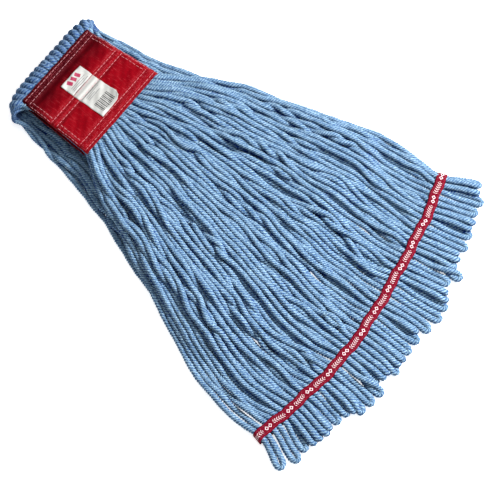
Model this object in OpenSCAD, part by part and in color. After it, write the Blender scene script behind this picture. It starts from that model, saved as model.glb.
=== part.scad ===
// Looped-end wet mop head with a wide mesh headband. It lies folded once at the headband's
// edge: the back tail lies underneath, and the front tail spreads out on top of it.
//
// Working frame: X runs from the fold edge of the headband towards the fringe, Y runs across
// the strands, and Z = 0 is the floor. place() moves the whole head so that the origin is the
// middle of its footprint.

/* [Headband] */
// Length of the headband along the strands
band_l = 127; // [110:1:155]
// Width of the headband at the fold edge
band_w_fold = 148; // [120:1:175]
// Width of the headband at the tail edge
band_w_tail = 161; // [130:1:180]
// Thickness of one mesh panel
panel_t = 1.2; // [0.8:0.1:2]
// Height of the yarn squeezed between the two panels
core_t = 20.6; // [12:0.2:26]
// How far the yarn core stays inside the sides of the panels
core_inset = 1; // [0.5:0.5:5]

/* [Seams] */
// Distance of the first fold-edge row from the fold edge
fold_row = 4; // [2:0.5:8]
// Spacing of the two fold-edge rows
fold_row_gap = 8; // [4:0.5:14]
// Spacing of the two centre rows
centre_row_gap = 10; // [6:0.5:12]
// Distance of the last tail-edge row from the tail edge
tail_row = 5; // [2:0.5:8]
// Spacing of the two tail-edge rows
tail_row_gap = 12; // [4:0.5:16]
// Distance of the outer hem row from a side edge
hem_row = 2.5; // [1.5:0.5:5]
// Spacing of the two hem rows
hem_row_gap = 6; // [3:0.5:9]
// Distance from one stitch to the next
stitch_pitch = 6.5; // [5:0.5:12]
// Length of a stitch
stitch_l = 4.6; // [2:0.2:4.8]
// Thickness of the sewing thread
thread_d = 0.6; // [0.4:0.1:1]

/* [Label] */
// Width of the label across the strands
label_w = 43; // [25:1:60]
// Thickness of the label
label_t = 0.4; // [0.2:0.1:0.8]
// Length of the label's flap towards the fold
label_fold_l = 22.6; // [10:0.2:34]
// Length of the label's flap towards the tail
label_tail_l = 41.6; // [15:0.2:43]
// Sideways place of the label's middle
label_y = -1; // [-20:1:20]

/* [Yarn] */
// Diameter of one yarn
yarn_d = 8.2; // [7:0.1:9]
// Length of each tail from the headband to the tips of its loops
tail_l = 538; // [480:1:600]
// Height of the back tail under the headband
under_t = 22; // [17:0.5:26]
// Number of bundles that each tail is drawn as
bundles = 6; // [6]

/* [Fold] */
// How far the yarn bulges out past the fold edge
fold_reach = 28; // [25:0.5:36]
// Width of the yarn at the fold
fold_w = 184; // [178:1:200]
// Length of strand that the fold takes up
fold_take = 65; // [50:1:80]

/* [Front tail] */
// Right edge of the spread, where it leaves the headband
front_spread_right = 120; // [95:1:125]
// Left edge of the spread, where it leaves the headband
front_spread_left = 118; // [95:1:125]
// Right edge of the fan at its fullest
front_full_right = 210; // [190:1:220]
// Left edge of the fan at its fullest
front_full_left = 241; // [220:1:250]
// Length of the fringe past the tail tape, at the right end
front_fringe_right = 67; // [50:1:80]
// Length of the fringe past the tail tape, at the left end
front_fringe_left = 43; // [35:1:55]
// Right end of the tail tape
front_tape_right = 209; // [190:1:215]
// Left end of the tail tape
front_tape_left = 256; // [230:1:262]
// How far the tail tape bows out between its ends
front_tape_bow = 42; // [25:1:45]
// Right corner of the fringe
front_tip_right = 231; // [215:1:245]
// Left corner of the fringe
front_tip_left = 281; // [265:1:295]
// How far the line of loop tips bows out between its corners
front_tip_bow = 62; // [45:1:75]

/* [Back tail] */
// Half the width of the back tail where it leaves the headband
back_spread = 107; // [100:1:112]
// Half the width of the back tail's tape
back_tape_half = 196; // [180:1:208]
// How far the back tail's tape bows out between its ends
back_tape_bow = 30; // [20:1:34]
// Length of the fringe past the back tail's tape, at each end
back_fringe = 46; // [40:1:60]
// Half the width between the corners of the back fringe
back_tip_half = 207; // [195:1:216]
// How far the line of the back loop tips bows out between its corners
back_tip_bow = 36; // [24:1:44]
// How far the back tail leans to the left at its tips
back_lean = 10; // [0:1:16]

/* [Tail tapes] */
// Width of the tape that is sewn across each tail
tape_w = 14.5; // [10:0.5:18]
// Thickness of the tape
tape_t = 0.8; // [0.5:0.1:1.2]
// How deep the tape squeezes into the yarn
tape_press = 1.6; // [1.2:0.1:2.4]
// Distance of a sewn line from the tape's edge
tape_seam = 2; // [1.5:0.1:3]

/* [Hidden] */
$fn = 96;
// clearance between parts that move against each other
gap = 0.3;
// clearance between parts that are sewn together
seat = 0.05;

// heights, from the floor up
back_panel_z = under_t + gap + thread_d / 2 + seat;
core_z = back_panel_z + panel_t + seat;
front_panel_z = core_z + core_t + seat;
band_top = front_panel_z + panel_t;
hinge_z = band_top / 2;
label_z = band_top + 2 * seat;
tip_t = 2 * yarn_d;

// places along the strands
centre_x = (band_l - centre_row_gap) / 2 - 3.5;
label_fold_x = centre_x - 1.65;
label_tail_x = centre_x + centre_row_gap + 1.65;
front_root_x = band_l + gap;
front_tip_x = band_l + tail_l;
front_corner_x = front_tip_x - front_tip_bow;
back_tip_x = tail_l - fold_take;
back_corner_x = back_tip_x - back_tip_bow;
back_tape_x = back_corner_x - back_fringe;
drape_x = back_tip_x + 3;
drape_l = 50;

// the fan shapes: [distance along X, left edge, right edge]
fold_shape = [
    [-fold_reach, -fold_w / 2 + 22, fold_w / 2 - 22],
    [-fold_reach / 2, -fold_w / 2 + 6, fold_w / 2 - 6],
    [-gap / 2, -fold_w / 2, fold_w / 2]
];
front_shape = [
    [front_root_x, -band_w_tail / 2, band_w_tail / 2],
    [band_l + 45, -front_spread_left, front_spread_right],
    [band_l + 303, -front_full_left, front_full_right],
    [front_corner_x - front_fringe_right, -front_tape_left - 1, front_tape_right + 1],
    [front_corner_x, -front_tip_left, front_tip_right],
    [front_tip_x + 5, -front_tip_left, front_tip_right]
];
back_shape = [
    [-fold_reach, -fold_w / 2 + 22, fold_w / 2 - 22],
    [-fold_reach / 2, -fold_w / 2 + 6, fold_w / 2 - 6],
    [0, -fold_w / 2, fold_w / 2],
    [band_l, -back_spread, back_spread],
    [back_tape_x, -back_tape_half - back_lean - 1, back_tape_half - back_lean + 1],
    [back_corner_x, -back_tip_half - back_lean, back_tip_half - back_lean],
    [back_tip_x + 5, -back_tip_half - back_lean, back_tip_half - back_lean]
];

// the ends of the tapes and the corners of the fringes: [right end, left end]
front_tape_ends = [
    [front_corner_x - front_fringe_right, front_tape_right],
    [front_corner_x - front_fringe_left, -front_tape_left]
];
front_tips = [[front_corner_x, front_tip_right], [front_corner_x, -front_tip_left]];
back_tape_ends = [
    [back_tape_x, back_tape_half - back_lean],
    [back_tape_x, -back_tape_half - back_lean]
];
back_tips = [
    [back_corner_x, back_tip_half - back_lean],
    [back_corner_x, -back_tip_half - back_lean]
];
back_tape_top = tip_t + 0.6;

// the middle of the footprint
mid_x = (front_tip_x - fold_reach) / 2;
mid_y = (front_tip_right - front_tip_left) / 2;

YARN = [0.50, 0.66, 0.80];
MESH = [0.70, 0.04, 0.07];
THREAD = [0.93, 0.80, 0.80];

module place() translate([-mid_x, -mid_y, 0]) children();

// An arc through two ends that bows out by a given amount towards +X.
function arc_r(ends, bow) = (pow(norm(ends[0] - ends[1]) / 2, 2) + bow * bow) / (2 * bow);
function arc_out(ends) =
    let (along = (ends[0] - ends[1]) / norm(ends[0] - ends[1]))
    [along[1], -along[0]];
function arc_centre(ends, bow) =
    (ends[0] + ends[1]) / 2 + arc_out(ends) * (bow - arc_r(ends, bow));
function arc_angle(point, centre) = atan2(point[1] - centre[1], point[0] - centre[0]);

// A curved bar that follows such an arc, with its width across the arc.
module arc_bar(ends, bow, offset, w, z, t, past_left = 0) {
    c = arc_centre(ends, bow);
    r = arc_r(ends, bow) + offset;
    a_left = arc_angle(ends[1], c) - past_left;
    a_right = arc_angle(ends[0], c);
    translate([c[0], c[1], 0])
        rotate([0, 0, a_left])
            rotate_extrude(angle = a_right - a_left, $fn = 180)
                translate([r - w / 2, z])
                    square([w, t]);
}

// A disc whose rim is the line of loop tips.
module tip_disc(ends, bow) {
    c = arc_centre(ends, bow);
    translate([c[0], c[1], -1])
        cylinder(r = arc_r(ends, bow), h = 3 * band_top, $fn = 180);
}

// One of n strips that a fan shape is shared out into, from the left, as seen from above.
function across(s, f) = s[1] + f * (s[2] - s[1]);
module strip(shape, i, n) {
    side_a = [for (s = shape) [s[0], across(s, i / n) + gap / 2]];
    side_b = [for (k = [len(shape) - 1:-1:0]) [shape[k][0], across(shape[k], (i + 1) / n) - gap / 2]];
    translate([0, 0, -1])
        linear_extrude(3 * band_top)
            polygon(concat(side_a, side_b));
}

// A solid with the given side view, wide enough for either tail.
module side_view(points) {
    translate([0, front_tip_left + 20, 0])
        rotate([90, 0, 0])
            linear_extrude(2 * front_tip_left + 40)
                polygon(points);
}

// The round nose of the fold, from height z0 to z1.
module fold_nose(z0, z1) {
    intersection() {
        translate([-fold_reach + hinge_z, front_tip_left, hinge_z])
            rotate([90, 0, 0])
                cylinder(r = hinge_z, h = 2 * front_tip_left);
        translate([-fold_reach - 1, -front_tip_left, z0])
            cube([fold_reach + 1 - gap / 2, 2 * front_tip_left, z1 - z0]);
    }
    translate([-fold_reach + hinge_z, -front_tip_left, z0])
        cube([fold_reach - hinge_z - gap / 2, 2 * front_tip_left, z1 - z0]);
}

// The room that a tail tape needs in the yarn, above, below and past its left end.
module tape_room(ends, bow, top, bottom) {
    arc_bar(ends, bow, 0, tape_w + 1, top - tape_press, 2 * band_top, past_left = 3);
    arc_bar(ends, bow, 0, tape_w + 1, bottom - band_top, band_top + tape_press, past_left = 3);
    c = arc_centre(ends, bow);
    translate([c[0], c[1], 0])
        rotate([0, 0, arc_angle(ends[1], c) - 6])
            rotate_extrude(angle = 6, $fn = 180)
                translate([arc_r(ends, bow) - tape_w / 2 - 0.5, -1])
                    square([tape_w + 1, 3 * band_top]);
}

// A tail tape: over the top, down round the left edge and back underneath.
module tail_tape(ends, bow, top, bottom) {
    over_z = top - tape_press + seat;
    under_z = bottom + tape_press - seat - tape_t;
    c = arc_centre(ends, bow);
    wrap = tape_t / arc_r(ends, bow) * 180 / PI;
    arc_bar(ends, bow, 0, tape_w, over_z, tape_t, past_left = wrap);
    arc_bar(ends, bow, 0, tape_w, under_z, tape_t, past_left = wrap);
    translate([c[0], c[1], 0])
        rotate([0, 0, arc_angle(ends[1], c) - wrap])
            rotate_extrude(angle = wrap * 0.9, $fn = 180)
                translate([arc_r(ends, bow) - tape_w / 2, under_z])
                    square([tape_w, over_z + tape_t - under_z]);
}

// The two sewn lines along each face of a tail tape.
module tape_threads(ends, bow, top, bottom) {
    over_z = top - tape_press + tape_t + 2 * seat;
    under_z = bottom + tape_press - tape_t - 2 * seat - thread_d / 2;
    for (side = [-1, 1]) {
        line = side * (tape_w / 2 - tape_seam);
        arc_bar(ends, bow, line, thread_d, over_z, thread_d / 2);
        arc_bar(ends, bow, line, thread_d, under_z, thread_d / 2);
    }
}

// Half the width of the headband at a distance x from its fold edge.
function band_half(x) = (band_w_fold + (band_w_tail - band_w_fold) * x / band_l) / 2;

module panel(z) {
    translate([0, 0, z])
        linear_extrude(panel_t)
            polygon([
                [0, -band_half(0)],
                [band_l, -band_half(band_l)],
                [band_l, band_half(band_l)],
                [0, band_half(0)]
            ]);
}

// One row of stitches from a to b, lying on height z; it steps up where it crosses the label.
module stitch_row(a, b, z, step = 0) {
    run = norm(b - a);
    count = floor(run / stitch_pitch);
    lead = (run - (count - 1) * stitch_pitch) / 2;
    for (k = [0:count - 1]) {
        p = a + (b - a) * (lead + k * stitch_pitch) / run;
        on_label = abs(p[1] - label_y) < label_w / 2 + stitch_l;
        translate([p[0], p[1], z + (on_label ? step : 0)])
            rotate([0, 0, atan2(b[1] - a[1], b[0] - a[0])])
                translate([-stitch_l / 2, -thread_d / 2, 0])
                    cube([stitch_l, thread_d, thread_d / 2]);
    }
}

// A pair of rows across the headband, on both faces.
module cross_rows(x0, spacing, step = 0) {
    for (x = [x0, x0 + spacing]) {
        half = band_half(x) - 1;
        stitch_row([x, -half], [x, half], band_top + seat, step);
        stitch_row([x, -half], [x, half], back_panel_z - seat - thread_d / 2);
    }
}

// The rows along one side hem, on both faces, between the pairs that cross the headband.
module hem_rows(side) {
    spans = [
        [fold_row + fold_row_gap + 2, centre_x - 2],
        [centre_x + centre_row_gap + 2, band_l - tail_row - tail_row_gap - 2]
    ];
    for (in = [hem_row, hem_row + hem_row_gap], s = spans) {
        a = [s[0], side * (band_half(s[0]) - in)];
        b = [s[1], side * (band_half(s[1]) - in)];
        stitch_row(a, b, band_top + seat);
        stitch_row(a, b, back_panel_z - seat - thread_d / 2);
    }
}

module label_piece(x0, x1) {
    translate([x0, label_y - label_w / 2, label_z])
        cube([x1 - x0, label_w, label_t]);
}

module front_bundle(i) {
    color(YARN)
        place()
            difference() {
                intersection() {
                    strip(front_shape, i, bundles);
                    side_view([
                        [front_root_x, core_z],
                        [drape_x, tip_t + 2.5 * gap],
                        [drape_x + drape_l, gap],
                        [front_tip_x + 5, gap],
                        [front_tip_x + 5, tip_t + gap],
                        [drape_x + 1.1 * drape_l, tip_t + gap],
                        [drape_x, 2 * tip_t + 2.5 * gap],
                        [front_root_x, front_panel_z]
                    ]);
                    tip_disc(front_tips, front_tip_bow);
                }
                tape_room(front_tape_ends, front_tape_bow, tip_t + gap, gap);
            }
}

module back_bundle(i) {
    color(YARN)
        place()
            difference() {
                intersection() {
                    strip(back_shape, i, bundles);
                    union() {
                        fold_nose(0, hinge_z - gap / 2);
                        side_view([
                            [-gap, 0],
                            [back_tip_x + 5, 0],
                            [back_tip_x + 5, tip_t],
                            [back_tip_x, tip_t],
                            [band_l, under_t],
                            [-gap, under_t]
                        ]);
                    }
                    tip_disc(back_tips, back_tip_bow);
                }
                tape_room(back_tape_ends, back_tape_bow, back_tape_top, 0);
            }
}

module headband_front_panel() color(MESH) place() panel(front_panel_z);

module headband_back_panel() color(MESH) place() panel(back_panel_z);

// The yarn between the panels, from a distance x0 and a height z0.
module core(x0, z0) {
    translate([0, 0, z0])
        linear_extrude(core_z + core_t - z0)
            polygon([
                [x0, -band_half(0) + core_inset],
                [band_l, -band_half(band_l) + core_inset],
                [band_l, band_half(band_l) - core_inset],
                [x0, band_half(0) - core_inset]
            ]);
}

module headband_yarn() {
    color(YARN)
        place() {
            core(0, core_z);
            core(-1, max(core_z, hinge_z + gap / 2));
            intersection() {
                strip(fold_shape, 0, 1);
                fold_nose(hinge_z + gap / 2, band_top);
            }
        }
}

module fold_edge_stitches() color(THREAD) place() cross_rows(fold_row, fold_row_gap);

module centre_seam_stitches() {
    color(THREAD) place() cross_rows(centre_x, centre_row_gap, label_t + 2 * seat);
}

module tail_edge_stitches() {
    color(THREAD) place() cross_rows(band_l - tail_row - tail_row_gap, tail_row_gap);
}

module left_hem_stitches() color(THREAD) place() hem_rows(-1);

module right_hem_stitches() color(THREAD) place() hem_rows(1);

module label_centre() {
    color("white") place() label_piece(label_fold_x + gap, label_tail_x - gap);
}

module label_fold_flap() {
    color("white") place() label_piece(label_fold_x - gap - label_fold_l, label_fold_x - gap);
}

module label_tail_flap() {
    color("white") place() label_piece(label_tail_x + gap, label_tail_x + gap + label_tail_l);
}

module front_yarn_bundle_1() front_bundle(0);
module front_yarn_bundle_2() front_bundle(1);
module front_yarn_bundle_3() front_bundle(2);
module front_yarn_bundle_4() front_bundle(3);
module front_yarn_bundle_5() front_bundle(4);
module front_yarn_bundle_6() front_bundle(5);

module front_tail_tape() {
    color(MESH) place() tail_tape(front_tape_ends, front_tape_bow, tip_t + gap, gap);
}

module front_tape_stitches() {
    color(THREAD) place() tape_threads(front_tape_ends, front_tape_bow, tip_t + gap, gap);
}

module back_yarn_bundle_1() back_bundle(0);
module back_yarn_bundle_2() back_bundle(1);
module back_yarn_bundle_3() back_bundle(2);
module back_yarn_bundle_4() back_bundle(3);
module back_yarn_bundle_5() back_bundle(4);
module back_yarn_bundle_6() back_bundle(5);

module back_tail_tape() {
    color(MESH) place() tail_tape(back_tape_ends, back_tape_bow, back_tape_top, 0);
}

module back_tape_stitches() {
    color(THREAD) place() tape_threads(back_tape_ends, back_tape_bow, back_tape_top, 0);
}

headband_front_panel();
headband_back_panel();
headband_yarn();
fold_edge_stitches();
centre_seam_stitches();
tail_edge_stitches();
left_hem_stitches();
right_hem_stitches();
label_centre();
label_fold_flap();
label_tail_flap();
front_yarn_bundle_1();
front_yarn_bundle_2();
front_yarn_bundle_3();
front_yarn_bundle_4();
front_yarn_bundle_5();
front_yarn_bundle_6();
front_tail_tape();
front_tape_stitches();
back_yarn_bundle_1();
back_yarn_bundle_2();
back_yarn_bundle_3();
back_yarn_bundle_4();
back_yarn_bundle_5();
back_yarn_bundle_6();
back_tail_tape();
back_tape_stitches();
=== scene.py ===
"""Looped-end wet mop head, folded once at the edge of its wide mesh headband.

Every part of it is soft: yarn, mesh, tape, thread and a sewn-in label. The file goes from the
yarns outwards to the pieces that hold them together, and then to the floor and the light.
"""

import math

import bmesh
import bpy
import numpy as np
from mathutils import Matrix, Vector


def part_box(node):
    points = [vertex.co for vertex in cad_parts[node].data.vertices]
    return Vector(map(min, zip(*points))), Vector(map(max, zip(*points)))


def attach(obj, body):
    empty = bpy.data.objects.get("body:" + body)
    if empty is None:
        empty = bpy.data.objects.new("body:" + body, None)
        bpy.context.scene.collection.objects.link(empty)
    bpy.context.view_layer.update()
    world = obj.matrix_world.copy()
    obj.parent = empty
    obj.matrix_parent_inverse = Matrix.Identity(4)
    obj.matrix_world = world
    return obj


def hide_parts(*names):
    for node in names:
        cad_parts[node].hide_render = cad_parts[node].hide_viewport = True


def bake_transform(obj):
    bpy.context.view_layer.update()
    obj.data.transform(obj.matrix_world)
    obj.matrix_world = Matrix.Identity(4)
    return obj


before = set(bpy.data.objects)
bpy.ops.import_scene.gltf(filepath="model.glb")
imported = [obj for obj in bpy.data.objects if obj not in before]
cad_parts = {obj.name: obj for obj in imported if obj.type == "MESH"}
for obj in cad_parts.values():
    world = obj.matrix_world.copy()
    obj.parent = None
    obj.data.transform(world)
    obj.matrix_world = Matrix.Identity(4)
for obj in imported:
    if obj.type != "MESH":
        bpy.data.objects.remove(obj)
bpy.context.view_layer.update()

# ---------------------------------------------------------------------------
# The ground that the strands are laid out on
# The headband's fold edge is x = 0 and its middle is y = 0 here. Both tails fan out from it.
# Its length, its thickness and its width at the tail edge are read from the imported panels.
# ---------------------------------------------------------------------------
panel_low, panel_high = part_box("headband_front_panel")
core_low, core_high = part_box("headband_yarn")
BAND_L = panel_high.x - panel_low.x
BAND_MID_Y = (panel_low.y + panel_high.y) / 2
BAND_TOP = panel_high.z
CORE_BOTTOM = core_low.z
CORE_TOP = core_high.z
BAND_HALF_TAIL = (panel_high.y - panel_low.y) / 2
# it is a little narrower at the fold edge
BAND_HALF_FOLD = 0.074
# the fold is a half circle that reaches this far out past the headband's edge
FOLD_REACH = 0.0281
NOSE_R = BAND_TOP / 2
NOSE_X = NOSE_R - FOLD_REACH
# how much yarn goes from the headband's edge round the fold and back to below the edge
NOSE_RUN = math.pi * NOSE_R - 2 * NOSE_X


def in_row(points):
    """Points measured from the headband, as points of the whole object's frame."""
    return np.asarray(points, float) + (panel_low.x, BAND_MID_Y, 0.0)


def bow_line(right, left, bow):
    """The x of an arc through the two given ends, which bows out by bow, as a function of y."""
    right, left = np.array(right), np.array(left)
    chord = right - left
    reach = np.linalg.norm(chord)
    radius = (reach**2 / 4 + bow**2) / (2 * bow)
    out = np.array([chord[1], -chord[0]]) / reach
    centre = (right + left) / 2 + out * (bow - radius)
    return lambda y: centre[0] + np.sqrt(np.maximum(radius**2 - (y - centre[1]) ** 2, 0.0))


# ---------------------------------------------------------------------------
# The yarns of both tails
# Each yarn is four cotton plies twisted together, 8 mm thick. It is sewn in as a long loop, so
# the tail ends in rounded tips. Eighty legs lie in each tail, and the tape holds them in layers.
# ---------------------------------------------------------------------------
YARN_R = 0.0041
SQUEEZED_R = 0.0031
LOOPS = 40
LEGS = 2 * LOOPS
FLAT_LOOPS = 10
SLOTS = LOOPS + FLAT_LOOPS
PLY_PITCH = 0.0165
RINGS_PER_TURN = 8
RING_STEP = PLY_PITCH / RINGS_PER_TURN
PROFILE_POINTS = 12
PLY_CREST = 1.09
PLY_VALLEY = 0.72
SLICE_STEP = 0.0045
NEIGHBOURS = 11
TIP_POINTS = 7
# how far the yarn keeps below the flat inside of a panel, because the mesh dips along its seams
PANEL_ROOM = 0.0040
# how high the back tail's legs may lie: round the fold, under the headband, and past it
FOLD_ROOM, UNDER_ROOM, OPEN_ROOM = 0.0175, 0.0215, 0.030
dice = np.random.default_rng(41)


def tape_slots():
    """The slot under the tape, and the layer, 1 for the upper, that each leg of a tail gets."""
    flat = set(dice.choice(np.arange(1, LOOPS - 1), FLAT_LOOPS - 1, replace=False)) | {0}
    slot, layer, at = np.zeros(LEGS), np.zeros(LEGS), 0
    for loop in range(LOOPS):
        a, b = 2 * loop, 2 * loop + 1
        if loop in flat:
            slot[a], slot[b] = at + 0.06, at + 0.94
            layer[a] = layer[b] = 1
            at += 2
        else:
            # the lower leg lies under the gap beside the upper one
            upper, lower = (a, b) if dice.random() < 0.5 else (b, a)
            slot[upper], slot[lower] = at, at + 0.5
            layer[upper] = 1
            at += 1
    return (slot + 0.5) / SLOTS, layer


def wander(s, size):
    """Sideways waves of one leg along the distances s, growing from none at its held ends."""
    wave = np.zeros((len(s), LEGS))
    for length, share in ((0.21, 0.9), (0.115, 0.75), (0.062, 0.42)):
        lengths = length * dice.uniform(0.8, 1.25, LEGS)
        starts = dice.uniform(0, 2 * math.pi, LEGS)
        wave += share * np.sin(2 * math.pi * s[:, None] / lengths + starts)
    return wave * size


def clumps(s, share, size):
    """Sideways shifts that draw neighbouring legs together in clumps, with gaps between them."""
    shift = np.zeros_like(share)
    for count, drift in ((9.0, 1.3), (14.0, -2.1), (5.0, 0.8)):
        phase = dice.uniform(0, 2 * math.pi)
        shift += np.sin(2 * math.pi * (share * count + drift * s[:, None] / 0.3) + phase)
    held_edges = smooth_step(0.0, 0.07, share) * smooth_step(1.0, 0.93, share)
    return shift * size * held_edges


def rises(s, size):
    """Heights by which legs ride up on their neighbours here and there along the distances s."""
    return np.maximum(wander(s, 1.0) - 0.55, 0.0) * size


def soften(a, rounds, share=0.25):
    """Draws each row of a towards the rows before and after it, in place."""
    for _ in range(rounds):
        a[1:-1] += share * (a[:-2] - 2 * a[1:-1] + a[2:])


def settle(y, z, lane, radius, low, high, sides, alive, fall, rounds, hold):
    """Lets the legs of a tail find their places, slice by slice across the strands.

    y, z, lane, radius and alive hold one row for each slice and one column for each leg. Legs
    push each other apart, sink by fall, stay smooth along their length, keep to their lanes and
    stay between the two sides. hold says how firmly, and at which y and z, a leg is held.
    """
    for step in range(rounds):
        ease = 1.0 if step < rounds * 0.7 else 0.35
        y += 0.03 * ease * (lane - y)
        z -= fall * ease
        soften(y, 1, 0.22)
        soften(z, 1, 0.22)
        grip, hold_y, hold_z = hold
        y += grip * (hold_y - y)
        z += grip * (hold_z - z)
        for m in range(1, NEIGHBOURS + 1):
            dy, dz = y[:, m:] - y[:, :-m], z[:, m:] - z[:, :-m]
            apart = np.sqrt(dy * dy + dz * dz) + 1e-7
            push = np.maximum(radius[:, m:] + radius[:, :-m] - apart, 0.0) * 0.42
            push *= alive[:, m:] * alive[:, :-m]
            push[push > 0.002] = 0.002
            y[:, m:] += push * dy / apart
            y[:, :-m] -= push * dy / apart
            z[:, m:] += push * dz / apart
            z[:, :-m] -= push * dz / apart
        np.maximum(z, low(y) + radius * 1.14, out=z)
        np.minimum(z, high - radius * 0.97, out=z)
        np.clip(y, sides[0], sides[1], out=y)
    return y, z


def smooth_step(a, b, v):
    """From 0 at a to 1 at b, with a soft start and end, and level beyond them."""
    t = np.clip((v - a) / (b - a), 0.0, 1.0)
    return t * t * (3 - 2 * t)


def even_line(points, radii, step):
    """A smooth line through points, with a point every step, and the radius at each of them."""
    soften(points, 3)
    run = np.r_[0, np.cumsum(np.linalg.norm(np.diff(points, axis=0), axis=1))]
    count = int(round(run[-1] / step)) + 1
    even = np.linspace(0, run[-1], count)
    line = np.stack([np.interp(even, run, points[:, k]) for k in range(3)], axis=1)
    soften(line, 4)
    a, b, c = dice.uniform(0, 2 * math.pi, 3)
    slubs = 0.03 * np.sin(even / 0.0041 + a) + 0.03 * np.sin(even / 0.0087 + b)
    slubs += 0.02 * np.sin(even / 0.0023 + c)
    return line, np.interp(even, run, radii) * (1 + slubs)


def tip_turn(a, b):
    """The half circle that joins leg a to leg b past their last points."""
    ahead = (a[-1] - a[-3]) + (b[-1] - b[-3])
    across = (b[-1] - a[-1]) / 2
    ahead -= across * (ahead @ across) / (across @ across)
    ahead *= np.linalg.norm(across) / np.linalg.norm(ahead)
    middle = (a[-1] + b[-1]) / 2
    turn = np.linspace(0, math.pi, TIP_POINTS + 2)[1:-1, None]
    points = middle - across * np.cos(turn) + ahead * 1.1 * np.sin(turn)
    points[:, 2] = np.maximum(points[:, 2], 1.15 * YARN_R)
    return points


def ply_profile():
    """The cross-section of four plies, as the outline that is swept along each yarn."""
    curve = bpy.data.curves.new("ply_profile", "CURVE")
    curve.dimensions = "2D"
    ring = curve.splines.new("POLY")
    ring.points.add(PROFILE_POINTS - 1)
    for k, point in enumerate(ring.points):
        out = PLY_VALLEY if k % 3 == 1 else PLY_CREST
        angle = 2 * math.pi * k / PROFILE_POINTS
        point.co = (out * math.cos(angle), out * math.sin(angle), 0, 1)
    ring.use_cyclic_u = True
    return bpy.data.objects.new("ply_profile", curve)


profile = ply_profile()


def twist_yarns(name, lines, painted_shade=None):
    """Sweeps the plies along each line of (points, radii), marks the crest of each ply, and stores the
    painted shade of each place if a function for it is given.
    """
    curve = bpy.data.curves.new(name, "CURVE")
    curve.dimensions = "3D"
    curve.twist_mode = "MINIMUM"
    curve.bevel_mode = "OBJECT"
    curve.bevel_object = profile
    curve.use_fill_caps = True
    for points, radii in lines:
        spline = curve.splines.new("POLY")
        count = len(points)
        spline.points.add(count - 1)
        co = np.c_[in_row(points), np.ones(count)]
        # each yarn is twisted a little harder or softer than the next, and unevenly
        twist = 2 * math.pi / RINGS_PER_TURN * dice.uniform(0.84, 1.12)
        uneven = 0.5 * np.sin(np.arange(count) * 0.13 + dice.uniform(0, 2 * math.pi))
        tilt = (dice.uniform(0, 2 * math.pi) - np.arange(count) * twist + uneven) % (2 * math.pi)
        spline.points.foreach_set("co", co.ravel().astype(np.float32))
        spline.points.foreach_set("tilt", tilt.astype(np.float32))
        spline.points.foreach_set("radius", radii.astype(np.float32))
    rope = bpy.data.objects.new(name, curve)
    bpy.context.scene.collection.objects.link(rope)
    graph = bpy.context.evaluated_depsgraph_get()
    mesh = bpy.data.meshes.new_from_object(rope.evaluated_get(graph))
    bpy.data.objects.remove(rope)
    mesh.name = name
    mesh.shade_smooth()
    # the short diagonals run along the yarn; the long ones would cut through it
    swept = bmesh.new()
    swept.from_mesh(mesh)
    bmesh.ops.triangulate(swept, faces=swept.faces[:], quad_method="SHORT_EDGE")
    swept.to_mesh(mesh)
    swept.free()
    crest = mesh.attributes.new("crest", "FLOAT", "POINT")
    at_crest = (np.arange(len(mesh.vertices)) % PROFILE_POINTS % 3 != 1).astype(np.float32)
    crest.data.foreach_set("value", at_crest)
    # painted shade: the depth attribute says how much darker each place of the yarn is painted
    depth = mesh.attributes.new("depth", "FLOAT", "POINT")
    if painted_shade:
        co = np.empty(3 * len(mesh.vertices), np.float32)
        mesh.vertices.foreach_get("co", co)
        places = co.reshape(-1, 3) - in_row((0, 0, 0))
        depth.data.foreach_set("value", painted_shade(places).astype(np.float32))
    piece = bpy.data.objects.new(name, mesh)
    bpy.context.scene.collection.objects.link(piece)
    return piece


# the fan of the back tail: distance from the fold along the floor, left edge, right edge
BACK_TAPE_S = 0.391 + 0.030
BACK_TIP_S = 0.473
BACK_FAN = np.array([
    (0.000, -0.092, 0.092),
    (0.060, -0.098, 0.098),
    (0.127, -0.107, 0.107),
    (0.230, -0.144, 0.130),
    (0.330, -0.182, 0.162),
    (0.421, -0.206, 0.187),
    (0.473, -0.216, 0.197),
])
back_tape_x = bow_line((0.391, 0.186), (0.391, -0.206), 0.030)
back_tip_x = bow_line((0.437, 0.197), (0.437, -0.217), 0.036)


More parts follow.
